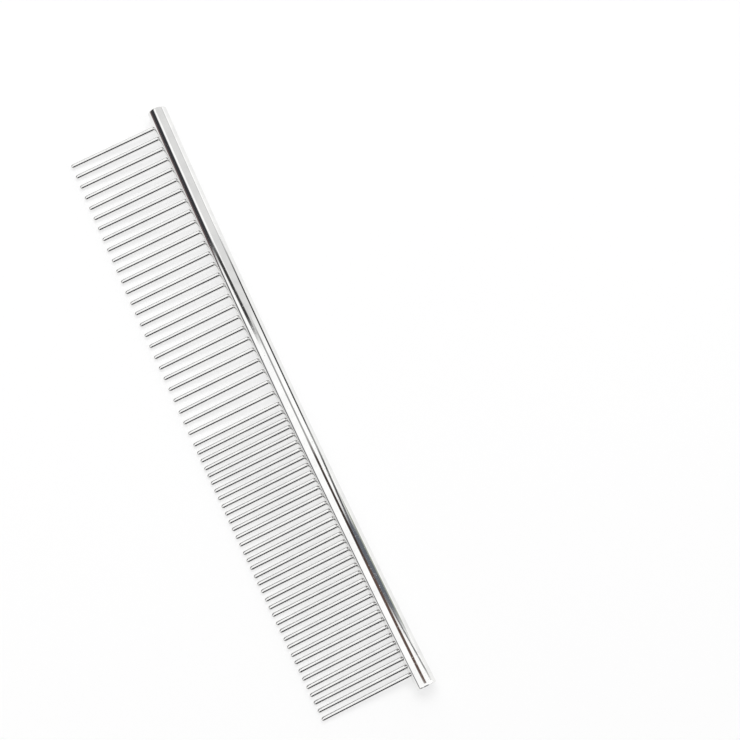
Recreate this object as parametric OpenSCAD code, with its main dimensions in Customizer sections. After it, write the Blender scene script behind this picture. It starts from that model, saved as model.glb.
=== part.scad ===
// Steel grooming comb: a round steel bar carrying one row of straight wire teeth,
// widely spaced along one part of the bar and closely spaced along the rest.
// Pressing the teeth into one side of the bar has bowed it very slightly, so that its middle
// stands a little closer to the tooth tips than its ends do.
// The comb lies as it is put down on a table: the bow is level, so the whole bar rests on
// Z = 0, and every tooth slopes down from the bar until its tip rests there too.
// +X runs along the bar from the coarse end to the fine end, the teeth point towards -Y.
// The origin is the middle of the comb's outline, on the table.

/* [Bar] */
// Length of the round bar
bar_length = 190; // [189:1:215]
// Diameter of the round bar
bar_diameter = 6; // [5:0.1:8]
// Radius that breaks the edge of each end face
bar_edge_radius = 0.45; // [0.1:0.05:1]
// How far the middle of the bar is bowed towards the tooth tips
bar_bow = 1.2; // [0.5:0.05:3]

/* [Teeth] */
// Distance between neighbouring coarse teeth
coarse_pitch = 3.61; // [3:0.01:3.65]
// Distance between neighbouring fine teeth
fine_pitch = 2.46; // [1.9:0.01:2.5]
// Distance between the last coarse tooth and the first fine one
changeover_pitch = 2.7; // [2:0.05:3.6]
// Bare bar from the coarse end to the middle of the first tooth
coarse_margin = 4.8; // [3:0.05:5.5]
// Length of a tooth that shows, from the bar's surface to its tip
tooth_reach = 28; // [15:0.1:40]
// Diameter of the tooth wire where it enters the bar
tooth_root_diameter = 1.45; // [1.35:0.05:1.7]
// Diameter of the tooth just behind its round tip
tooth_tip_diameter = 1.35; // [0.6:0.05:1.45]
// Depth of the blind hole that each tooth is pressed into
socket_depth = 3.4; // [1:0.1:4]

/* [Hidden] */
// 27 coarse teeth, then 35 fine ones. A part holds at most 60 nodes, so the last
// few fine teeth stand two to a node, as separate solids.
coarse_count = 27;
fine_count = 35;
fine_pairs = 3;
fine_singles = fine_count - 2 * fine_pairs;

$fn = 96;
bar_radius = bar_diameter / 2;
tooth_root_radius = tooth_root_diameter / 2;
tooth_tip_radius = tooth_tip_diameter / 2;
// A socket cutter starts this far outside the bar, so that it breaks the surface cleanly
cutter_clearance = 1;
// Length of the hidden core that joins each end piece to the bowed length
end_core = 1;

// The bar's axis is an arc of this radius, whose centre is on the far side from the teeth
bow_radius = (pow(bar_length / 2, 2) + pow(bar_bow, 2)) / (2 * bar_bow);
degrees_per_mm = 180 / (PI * bow_radius);
end_angle = degrees_per_mm * bar_length / 2;
edge_angle = degrees_per_mm * bar_edge_radius;
// Number of facets on a full turn of the bow, which puts about 60 on the bar's own short arc
bow_fn = round(60 * 360 / (2 * end_angle));

// Distance from the bar's axis to the centre of a tooth's round tip
tip_centre = bar_radius + tooth_reach - tooth_tip_radius;
// Each tooth slopes down from the bar to the table by this angle
lay_angle = asin((bar_radius - tooth_tip_radius) / tip_centre);
// Y of the outline's two sides from the middle of the bar's axis: the tips of the middle
// teeth, and the back of the bar where its broken edges begin
front_y = -tip_centre * cos(lay_angle) - tooth_tip_radius;
back_y = bow_radius - (bow_radius - bar_radius) * cos(end_angle - edge_angle);
// Y of the middle of the bar's axis, with the middle of the outline at Y = 0
bar_y = -(front_y + back_y) / 2;

function two_digits(n) = n < 10 ? str("0", n) : str(n);
function coarse_name(i) = str("coarse_tooth_", two_digits(i));
function fine_name(i) = str("fine_tooth_", two_digits(i));
function pair_name(i) = str("fine_tooth_pair_", i);

// Place along the bar's axis, from its middle, of coarse tooth i and of fine tooth i,
// both counted from 1
function coarse_place(i) = coarse_margin - bar_length / 2 + (i - 1) * coarse_pitch;
function fine_place(i) = coarse_place(coarse_count) + changeover_pitch + (i - 1) * fine_pitch;
// First fine tooth of pair i
function pair_start(i) = fine_singles + 2 * i - 1;

// Lays the bar down: the middle of its axis is the origin of what is drawn inside, the bow
// is in its XY plane, and the teeth's side is towards -Y
module laid_down() {
    translate([0, bar_y, bar_radius])
        children();
}

// Moves a shape from the middle of the bowed bar to a place along its axis
module along_bow(place) {
    translate([0, bow_radius, 0])
        rotate(place * degrees_per_mm)
            translate([0, -bow_radius, 0])
                children();
}

// Turns a shape drawn along +Z from the bar's axis into the line of a tooth
module tooth_line(place) {
    laid_down()
        along_bow(place)
            rotate([90 + lay_angle, 0, 0])
                children();
}

// Round end of the bar, with its broken edge: half of its section, turned about the axis.
// A core runs on into the bowed length, so that the two are one solid.
module bar_end_half_section() {
    inner_radius = bar_radius - bar_edge_radius;
    translate([0, -end_core])
        square([inner_radius, end_core + bar_edge_radius]);
    intersection() {
        translate([inner_radius, 0])
            circle(bar_edge_radius);
        square([bar_radius, bar_edge_radius]);
    }
}

// The bar without its holes. The bowed length stops where the broken edges begin. Its
// section starts from the top of the bar, clear of the holes.
module bowed_bar() {
    bowed_angle = 2 * (end_angle - edge_angle);
    translate([0, bow_radius, 0])
        rotate(-90 - bowed_angle / 2)
            rotate_extrude(angle = bowed_angle, $fn = bow_fn)
                translate([bow_radius, 0])
                    rotate(90)
                        circle(bar_radius, $fn = 96);
    for (end = [-1, 1])
        along_bow(end * (bar_length / 2 - bar_edge_radius))
            rotate([0, end * 90, 0])
                rotate_extrude()
                    bar_end_half_section();
}

// Blind hole for the tooth at a place along the bar
module socket(place) {
    tooth_line(place)
        translate([0, 0, bar_radius - socket_depth])
            cylinder(h = socket_depth + cutter_clearance, r = tooth_root_radius);
}

module spine_bar() {
    color("lightgray")
        difference() {
            laid_down()
                bowed_bar();
            for (i = [1 : coarse_count])
                socket(coarse_place(i));
            for (i = [1 : fine_count])
                socket(fine_place(i));
        }
}

// One wire tooth: a straight shank in its socket, a slightly tapered working length
// and a round tip
module tooth(place) {
    color("silver")
        tooth_line(place) {
            translate([0, 0, bar_radius - socket_depth])
                cylinder(h = socket_depth, r = tooth_root_radius);
            translate([0, 0, bar_radius])
                cylinder(h = tip_centre - bar_radius, r1 = tooth_root_radius, r2 = tooth_tip_radius);
            translate([0, 0, tip_centre])
                sphere(tooth_tip_radius);
        }
}

spine_bar();
for (i = [1 : coarse_count])
    tooth(coarse_place(i));
for (i = [1 : fine_singles])
    tooth(fine_place(i));
for (i = [1 : fine_pairs])
    for (j = [0, 1]) tooth(fine_place(pair_start(i) + j));
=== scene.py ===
import math
import random

import bpy
from mathutils import Matrix, Vector


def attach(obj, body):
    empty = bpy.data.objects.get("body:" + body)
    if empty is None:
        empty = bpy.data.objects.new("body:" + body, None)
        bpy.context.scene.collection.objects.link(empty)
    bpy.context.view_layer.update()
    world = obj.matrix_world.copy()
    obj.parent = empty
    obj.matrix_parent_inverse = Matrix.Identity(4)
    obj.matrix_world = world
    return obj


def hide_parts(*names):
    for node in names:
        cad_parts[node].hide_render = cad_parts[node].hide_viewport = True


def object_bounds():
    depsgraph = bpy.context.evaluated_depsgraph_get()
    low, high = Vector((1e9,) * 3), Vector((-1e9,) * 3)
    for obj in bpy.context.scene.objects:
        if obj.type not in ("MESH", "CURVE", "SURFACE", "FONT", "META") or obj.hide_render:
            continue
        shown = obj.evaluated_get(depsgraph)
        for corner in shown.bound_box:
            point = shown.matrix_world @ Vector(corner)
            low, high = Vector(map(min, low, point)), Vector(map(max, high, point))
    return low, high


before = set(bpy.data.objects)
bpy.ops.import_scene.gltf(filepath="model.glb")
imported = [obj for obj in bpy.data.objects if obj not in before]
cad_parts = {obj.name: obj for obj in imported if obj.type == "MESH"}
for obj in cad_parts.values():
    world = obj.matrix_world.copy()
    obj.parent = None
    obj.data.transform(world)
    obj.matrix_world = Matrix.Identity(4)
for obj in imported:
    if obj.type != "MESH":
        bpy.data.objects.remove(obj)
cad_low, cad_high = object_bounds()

MM = 0.001

# The comb's driving sizes, in metres, as the CAD model has them
BAR_LENGTH = 190 * MM
BAR_RADIUS = 3 * MM
BAR_EDGE = 0.45 * MM
BAR_BOW = 1.2 * MM
COARSE_COUNT = 27
FINE_COUNT = 35
FINE_SINGLES = 29
COARSE_PITCH = 3.61 * MM
FINE_PITCH = 2.46 * MM
CHANGEOVER_PITCH = 2.7 * MM
COARSE_MARGIN = 4.8 * MM
TOOTH_REACH = 28 * MM
ROOT_RADIUS = 0.725 * MM
TIP_RADIUS = 0.675 * MM

# What follows from them: the bow of the bar, and the slope of the teeth down to the table
BOW_RADIUS = ((BAR_LENGTH / 2) ** 2 + BAR_BOW ** 2) / (2 * BAR_BOW)
TIP_CENTRE = BAR_RADIUS + TOOTH_REACH - TIP_RADIUS
LAY = math.asin((BAR_RADIUS - TIP_RADIUS) / TIP_CENTRE)
BAR_Y = cad_low.y + TIP_CENTRE * math.cos(LAY) + TIP_RADIUS

# The plated fillet at a tooth's root, and how far its skirt is sunk in the bar
FILLET = 0.16 * MM
SUNK = 0.03 * MM

# How far a tooth may be out of true: its slant, its bend, its lift off the table, its length
MOST_LEAN = 0.10 * MM
MOST_BEND = 0.08 * MM
MOST_LIFT = 0.10 * MM
MOST_SHORT = 0.06 * MM

# How finely the meshes are cut
BAR_SIDES = 128
BAR_STEPS = 320
TOOTH_SIDES = 32
TOOTH_STEPS = 22
FILLET_STEPS = 6
ROUND_STEPS = 8

random.seed(7)


# ---------------------------------------------------------------- the camera

CAMERA_AT = Vector((0.0876, 0.02332, 0.4223))
LOOKS_AT = Vector((0.0057, 0.03892, 0.0))
LENS_MM = 71
PICTURE_TURN = math.radians(25.3)


def make_camera():
    data = bpy.data.cameras.new("camera")
    data.lens = LENS_MM
    data.sensor_width = 36
    data.clip_start = 0.01
    camera = bpy.data.objects.new("camera", data)
    bpy.context.scene.collection.objects.link(camera)
    back = (CAMERA_AT - LOOKS_AT).normalized()
    # The picture's upward direction, seen from above the table
    up = Vector((-math.cos(PICTURE_TURN), math.sin(PICTURE_TURN), 0))
    right = up.cross(back).normalized()
    up = back.cross(right)
    turn = Matrix((right, up, back)).transposed().to_4x4()
    camera.matrix_world = Matrix.Translation(CAMERA_AT) @ turn
    bpy.context.scene.camera = camera


# ------------------------------------------------------------- node shorthand

class Nodes:
    """A node tree with short calls for the few kinds of node that the materials use."""

    def __init__(self, tree):
        self.tree = tree
        tree.nodes.clear()

    def add(self, kind, **settings):
        node = self.tree.nodes.new(kind)
        for name, value in settings.items():
            setattr(node, name, value)
        return node

    def feed(self, socket, value):
        if isinstance(value, bpy.types.NodeSocket):
            self.tree.links.new(value, socket)
        else:
            socket.default_value = value

    def math(self, operation, *values, clamp=False):
        node = self.add("ShaderNodeMath", operation=operation, use_clamp=clamp)
        for socket, value in zip(node.inputs, values):
            self.feed(socket, value)
        return node.outputs[0]

    def product(self, first, second):
        return self.math("MULTIPLY", first, second)

    def ramp(self, value, low, high, to_low=0.0, to_high=1.0):
        """value from low to high, mapped smoothly to to_low to to_high, held beyond them."""
        node = self.add("ShaderNodeMapRange", interpolation_type="SMOOTHSTEP")
        for socket, v in zip(node.inputs, (value, low, high, to_low, to_high)):
            self.feed(socket, v)
        return node.outputs[0]

    def window(self, value, low, high, soft):
        """1 from low to high, crossing a half there and changing over soft on each side."""
        rise = self.ramp(value, low - soft, low + soft)
        fall = self.ramp(value, high - soft, high + soft, 1.0, 0.0)
        return self.product(rise, fall)

    def mix(self, share, a, b):
        node = self.add("ShaderNodeMix", data_type="RGBA")
        self.feed(node.inputs["Factor"], share)
        self.feed(node.inputs[6], a)
        self.feed(node.inputs[7], b)
        return node.outputs[2]

    def noise(self, vector, scale, detail=2.0):
        node = self.add("ShaderNodeTexNoise")
        self.feed(node.inputs["Vector"], vector)
        node.inputs["Scale"].default_value = scale
        node.inputs["Detail"].default_value = detail
        return node.outputs["Fac"]

    def stretched(self, vector, axis, share):
        """The vector with one axis scaled down to a share, which draws a pattern out."""
        node = self.add("ShaderNodeMapping")
        self.feed(node.inputs["Vector"], vector)
        node.inputs["Scale"].default_value[axis] = share
        return node.outputs[0]

    def bump(self, height, strength, distance):
        node = self.add("ShaderNodeBump")
        node.inputs["Strength"].default_value = strength
        node.inputs["Distance"].default_value = distance
        self.feed(node.inputs["Height"], height)
        return node

    def surface(self, shader):
        out = self.add("ShaderNodeOutputMaterial")
        self.feed(out.inputs["Surface"], shader.outputs[0])


# ---------------------------------------------------------------- materials

def grey(level):
    return (level, level, level, 1.0)


def new_material(name):
    material = bpy.data.materials.new(name)
    material.use_nodes = True
    return material, Nodes(material.node_tree)


def plate_pits(n, place):
    """1 in the small round pits that parts of the plate have, 0 elsewhere."""
    specks = n.add("ShaderNodeTexVoronoi", feature="F1")
    n.feed(specks.inputs["Vector"], place)
    specks.inputs["Scale"].default_value = 2200.0
    inside = n.ramp(specks.outputs["Distance"], 0.08, 0.28, 1.0, 0.0)
    pitted_part = n.ramp(n.noise(place, 500.0), 0.50, 0.60)
    return n.product(inside, pitted_part)


def polished_plate(name, along, roughness_low, roughness_high, dents):
    """Bright nickel-chrome plate: faint polishing lines along the part, pits, shallow dents
    and a slow change of tone. along is the axis that the lines run along, 0 for X, 1 for Y,
    and dents is the depth of the dents in metres."""
    material, n = new_material(name)
    place = n.add("ShaderNodeTexCoord").outputs["Object"]
    lines = n.noise(n.stretched(place, along, 0.02), 9000.0, detail=3.0)
    clouds = n.noise(place, 240.0, detail=3.0)
    waves = n.noise(n.stretched(place, along, 0.3), 900.0, detail=1.0)
    pits = plate_pits(n, place)

    bright = (0.88, 0.88, 0.87, 1.0)
    dull = (0.8272, 0.8272, 0.82215, 1.0)
    colour = n.mix(n.ramp(clouds, 0.35, 0.65), dull, bright)
    colour = n.mix(n.product(pits, 0.4), colour, grey(0.45))

    haze = n.ramp(clouds, 0.3, 0.7, roughness_low, roughness_high)
    haze = n.math("ADD", haze, n.ramp(lines, 0.5, 0.8, 0.0, 0.03))
    haze = n.math("ADD", haze, n.product(pits, 0.3), clamp=True)

    scratches = n.math("SUBTRACT", n.product(lines, 0.2), pits)
    fine_bump = n.bump(scratches, 0.3, 0.004 * MM)
    dent_bump = n.bump(waves, 1.0, dents)
    n.feed(dent_bump.inputs["Normal"], fine_bump.outputs[0])

    shader = n.add("ShaderNodeBsdfPrincipled")
    shader.inputs["Metallic"].default_value = 1.0
    n.feed(shader.inputs["Base Color"], colour)
    n.feed(shader.inputs["Roughness"], haze)
    n.feed(shader.inputs["Normal"], dent_bump.outputs[0])
    n.surface(shader)
    return material


def self_glowing_floor():
    """White acrylic sheet, lit from above, that also glows by itself: painted light, from no
    lamp, that lifts the shade round the comb.
    """
    material, n = new_material("white_floor")
    place = n.add("ShaderNodeTexCoord").outputs["Object"]
    tone = n.ramp(n.noise(place, 3.0), 0.3, 0.7)
    shader = n.add("ShaderNodeBsdfPrincipled")
    n.feed(shader.inputs["Base Color"], n.mix(tone, grey(0.33), grey(0.34)))
    # Painted light: the floor's own glow, from no lamp, brightens the shade that the comb
    # casts on it
    shader.inputs["Emission Color"].default_value = grey(1.0)
    shader.inputs["Emission Strength"].default_value = 0.64
    shader.inputs["Roughness"].default_value = 0.8
    shader.inputs["Specular IOR Level"].default_value = 0.2
    n.surface(shader)
    return material


# ------------------------------------------------------- shapes of the comb

def on_bow(place, x, y, z):
    """A point of the section at a place along the bowed bar: x along the bar from that
    section, y towards the back of the comb and z up, both from the bar's axis."""
    angle = place / BOW_RADIUS
    reach = BOW_RADIUS - y
    return Vector((x * math.cos(angle) + reach * math.sin(angle),
                   BAR_Y + BOW_RADIUS + x * math.sin(angle) - reach * math.cos(angle),
                   BAR_RADIUS + z))


def tooth_point(place, side, out, height):
    """A point in the frame of a tooth's own line: out from the bar's axis towards the tip,
    side along the bar, and height square to both."""
    return on_bow(place, side,
                  -out * math.cos(LAY) - height * math.sin(LAY),
                  -out * math.sin(LAY) + height * math.cos(LAY))


def quarter_turn(steps, degrees=90.0):
    """The angles of a rounded edge in equal steps, without the first, 0."""
    return [math.radians(degrees * k / steps) for k in range(1, steps + 1)]


def turns(sides):
    return [2 * math.pi * j / sides for j in range(sides)]


def skin(name, rings, material):
    """A closed smooth mesh through rings of equally many points. The first and the last
    ring are closed with a fan round their middle."""
    count = len(rings[0])
    points = [p for ring in rings for p in ring]
    faces = []
    for i in range(len(rings) - 1):
        a, b = i * count, (i + 1) * count
        for j in range(count):
            k = (j + 1) % count
            faces.append((a + j, a + k, b + k, b + j))
    for ring, order in ((0, -1), (len(rings) - 1, 1)):
        middle = sum(rings[ring], Vector()) / count
        points.append(middle)
        at = ring * count
        for j in range(count):
            pair = (at + j, at + (j + 1) % count)[::order]
            faces.append((*pair, len(points) - 1))
    mesh = bpy.data.meshes.new(name)
    mesh.from_pydata([tuple(p) for p in points], [], faces)
    mesh.polygons.foreach_set("use_smooth", [True] * len(faces))
    mesh.materials.append(material)
    mesh.update()
    piece = bpy.data.objects.new(name, mesh)
    bpy.context.scene.collection.objects.link(piece)
    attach(piece, "root")
    return piece


def bar_ring(place, radius):
    return [on_bow(place, 0, -radius * math.cos(t), radius * math.sin(t))
            for t in turns(BAR_SIDES)]


def make_bar(material):
    half = BAR_LENGTH / 2
    flat = BAR_RADIUS - BAR_EDGE
    # Place and radius of each ring of an end, from the middle of its face outwards
    end = [(half, flat * k / 4) for k in range(1, 5)]
    for a in quarter_turn(ROUND_STEPS):
        end.append((half - BAR_EDGE * (1 - math.cos(a)), flat + BAR_EDGE * math.sin(a)))
    straight = half - BAR_EDGE
    rings = [bar_ring(-p, r) for p, r in end]
    for k in range(1, BAR_STEPS):
        rings.append(bar_ring(-straight + 2 * straight * k / BAR_STEPS, BAR_RADIUS))
    rings += [bar_ring(p, r) for p, r in reversed(end)]
    piece = skin("plated_bar", rings, material)
    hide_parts("spine_bar")


def collar_ring(place, radius, above):
    """A ring round a tooth's root that follows the round of the bar, above its surface."""
    ring = []
    for t in turns(TOOTH_SIDES):
        side, height = radius * math.cos(t), radius * math.sin(t)
        out = math.sqrt(BAR_RADIUS ** 2 - height ** 2) + above
        ring.append(tooth_point(place, side, out, height))
    return ring


def fillet_rings(place):
    """The root of a tooth, from inside the bar out along the fillet to the wire."""
    rings = [collar_ring(place, ROOT_RADIUS + FILLET, -8 * SUNK),
             collar_ring(place, ROOT_RADIUS + FILLET + SUNK, -SUNK)]
    for a in [0.0] + quarter_turn(FILLET_STEPS):
        radius = ROOT_RADIUS + FILLET * (1 - math.sin(a))
        rings.append(collar_ring(place, radius, FILLET * (1 - math.cos(a))))
    return rings


def make_tooth(name, node, place, material):
    """One wire tooth: a plated fillet where it leaves the bar, a slightly tapered length
    with a hair of bend in it, and a round tip."""
    lean = random.uniform(-MOST_LEAN, MOST_LEAN)
    bend = random.uniform(-MOST_BEND, MOST_BEND)
    lift = random.uniform(0.0, MOST_LIFT)
    tip_out = TIP_CENTRE - random.uniform(0.0, MOST_SHORT)

    def wire_ring(out, radius):
        share = (out - BAR_RADIUS) / (TIP_CENTRE - BAR_RADIUS)
        off = lean * share + bend * share ** 2
        up = lift * share ** 2
        return [tooth_point(place, off + radius * math.cos(t), out, up + radius * math.sin(t))
                for t in turns(TOOTH_SIDES)]

    rings = fillet_rings(place)
    start = BAR_RADIUS + FILLET * 1.5
    for k in range(TOOTH_STEPS + 1):
        share = k / TOOTH_STEPS
        radius = ROOT_RADIUS + (TIP_RADIUS - ROOT_RADIUS) * share
        rings.append(wire_ring(start + (tip_out - start) * share, radius))
    for a in quarter_turn(ROUND_STEPS, 86.0):
        rings.append(wire_ring(tip_out + TIP_RADIUS * math.sin(a), TIP_RADIUS * math.cos(a)))
    piece = skin(name, rings, material)
    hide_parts(node)


def make_teeth(material):
    place = COARSE_MARGIN - BAR_LENGTH / 2
    for i in range(1, COARSE_COUNT + 1):
        make_tooth(f"coarse_wire_{i:02d}", f"coarse_tooth_{i:02d}", place, material)
        place += COARSE_PITCH
    place += CHANGEOVER_PITCH - COARSE_PITCH
    for i in range(1, FINE_COUNT + 1):
        if i <= FINE_SINGLES:
            node = f"fine_tooth_{i:02d}"
        else:
            node = f"fine_tooth_pair_{(i - FINE_SINGLES + 1) // 2}"
        make_tooth(f"fine_wire_{i:02d}", node, place, material)
        place += FINE_PITCH


# ----------------------------------------------------- the floor and the light

def make_floor():
    reach = 4.0
    mesh = bpy.data.meshes.new("floor")
    corners = [(-reach, -reach, 0), (reach, -reach, 0), (reach, reach, 0), (-reach, reach, 0)]
    mesh.from_pydata(corners, [], [(0, 1, 2, 3)])
    mesh.materials.append(self_glowing_floor())
    floor = bpy.data.objects.new("floor", mesh)
    bpy.context.scene.collection.objects.link(floor)


class Surroundings:
    """The light that reaches the comb from each direction, built up patch by patch. A
    direction is given by its X part, and by its turn round the X axis from straight up, in
    degrees, positive towards +Y."""

    def __init__(self, nodes, level):
        self.n = nodes
        direction = nodes.add("ShaderNodeTexCoord").outputs["Generated"]
        parts = nodes.add("ShaderNodeSeparateXYZ")
        nodes.feed(parts.inputs[0], direction)
        self.x, self.y, self.z = parts.outputs
        radians = nodes.math("ARCTAN2", self.y, self.z)
        self.turn = nodes.product(radians, 180 / math.pi)
        self.light = grey(level)

    def lay(self, share, colour):
        self.light = self.n.mix(share, self.light, colour)

    def band(self, middle, half_width, soft, x_low, x_high, x_soft, colour, slant=0.0):
        """A band of directions from x_low to x_high. Its middle is a turn at the middle of
        that stretch, and slant is how fast the turn grows with X."""
        n = self.n
        off = n.math("SUBTRACT", self.turn, middle)
        if slant:
            along = n.math("SUBTRACT", self.x, (x_low + x_high) / 2)
            off = n.math("SUBTRACT", off, n.product(along, slant))
        across = n.window(off, -half_width, half_width, soft)
        self.lay(n.product(across, n.window(self.x, x_low, x_high, x_soft)), colour)


def lay_coarse_end(around):
    """What the bar mirrors from its coarse end to its middle."""
    # Pale ceiling beyond the coarse end
    around.band(30, 37, 5, -2, -0.245, 0.02, grey(0.82))
    # Dark gap between the table and the tent on the tooth side, and a faint one opposite
    around.band(-90, 12, 5, -0.36, 0.35, 0.04, (0.12, 0.12, 0.125, 1.0), slant=-25)
    around.band(70, 4, 4, -0.50, -0.27, 0.03, grey(0.60))
    # Open corner of the tent, low on the tooth side beyond the coarse end
    around.band(-79, 11, 4, -2, -0.31, 0.012, (0.17, 0.125, 0.125, 1.0))
    around.band(-50, 22, 5, -2, -0.31, 0.012, (0.045, 0.045, 0.050, 1.0))
    # Gap between two softboxes, climbing from that corner to straight above
    around.band(-26, 16, 5, -0.315, -0.245, 0.010, grey(0.050), slant=360)
    around.band(12, 8, 4, -0.25, -0.165, 0.012, grey(0.32))


def lay_fine_end(around):
    """What the bar mirrors from its middle to its fine end."""
    # Gap between the softbox over the back and the table, which bends down to the camera
    around.band(76, 10, 4, -0.29, -0.165, 0.02, grey(0.03))
    around.band(53, 11, 5, -0.165, -0.095, 0.012, grey(0.09), slant=-700)
    # Dim corner of the room past the fine end, its pale greenish side, and a dark line
    # that leads out of it
    around.band(45, 32, 7, -0.115, -0.045, 0.012, (0.14, 0.155, 0.18, 1.0))
    around.band(74, 8, 4, -0.13, -0.045, 0.012, (0.40, 0.43, 0.36, 1.0))
    around.band(52, 10, 4, -0.055, -0.012, 0.006, grey(0.16), slant=1230)
    # The camera straight above: near black, and brown towards the fine end
    around.band(7.4, 12, 3, -0.165, -0.05, 0.012, (0.060, 0.045, 0.040, 1.0), slant=-80)
    around.band(3.5, 14, 3, -0.08, 0.02, 0.012, (0.13, 0.085, 0.070, 1.0), slant=-60)


def lay_far_side(around):
    """What darkens the teeth's edges from beyond the fine end."""
    n = around.n
    # The person behind the camera
    beyond = n.ramp(around.x, 0.30, 0.50)
    person = n.product(beyond, n.window(around.y, -0.40, 0.40, 0.08))
    around.lay(person, (0.040, 0.038, 0.045, 1.0))
    # The room's dark wall on that side, low at the back and higher on the tooth side
    low_wall = n.product(n.window(around.z, -1, 0.12, 0.05), n.window(around.y, 0, 0.9, 0.1))
    high_wall = n.product(n.window(around.z, -1, 0.55, 0.08), n.window(around.y, -2, 0, 0.1))
    wall = n.math("MAXIMUM", low_wall, high_wall)
    around.lay(n.product(n.ramp(around.x, 0.10, 0.30), wall), grey(0.03))


def make_studio():
    """A bright tent all round, with the darker gaps that give polished metal its lines."""
    world = bpy.data.worlds.new("studio")
    bpy.context.scene.world = world
    world.use_nodes = True
    n = Nodes(world.node_tree)
    around = Surroundings(n, 1.15)
    lay_coarse_end(around)
    lay_fine_end(around)
    lay_far_side(around)

    seen = n.add("ShaderNodeLightPath").outputs["Is Camera Ray"]
    light = n.mix(seen, around.light, grey(0.97))
    background = n.add("ShaderNodeBackground")
    n.feed(background.inputs["Color"], light)
    out = n.add("ShaderNodeOutputWorld")
    n.feed(out.inputs["Surface"], background.outputs[0])


def make_key_light():
    """A large soft light over the back of the bar, which shades the floor under the teeth."""
    data = bpy.data.lights.new("key_light", "AREA")
    data.shape = "RECTANGLE"
    data.size = 0.9
    data.size_y = 0.6
    data.energy = 6.0
    lamp = bpy.data.objects.new("key_light", data)
    bpy.context.scene.collection.objects.link(lamp)
    lamp.visible_glossy = False
    lamp.location = (-0.5, 0.3, 1.0)
    aim = Vector((0, 0, 0)) - lamp.location
    lamp.rotation_euler = aim.to_track_quat("-Z", "Y").to_euler()


make_camera()
make_bar(polished_plate("bar_plate", 0, 0.02, 0.05, 0.0030 * MM))
make_teeth(polished_plate("tooth_plate", 1, 0.03, 0.06, 0.0004 * MM))
make_floor()
make_studio()
make_key_light()
bpy.context.scene.view_settings.view_transform = "Standard"
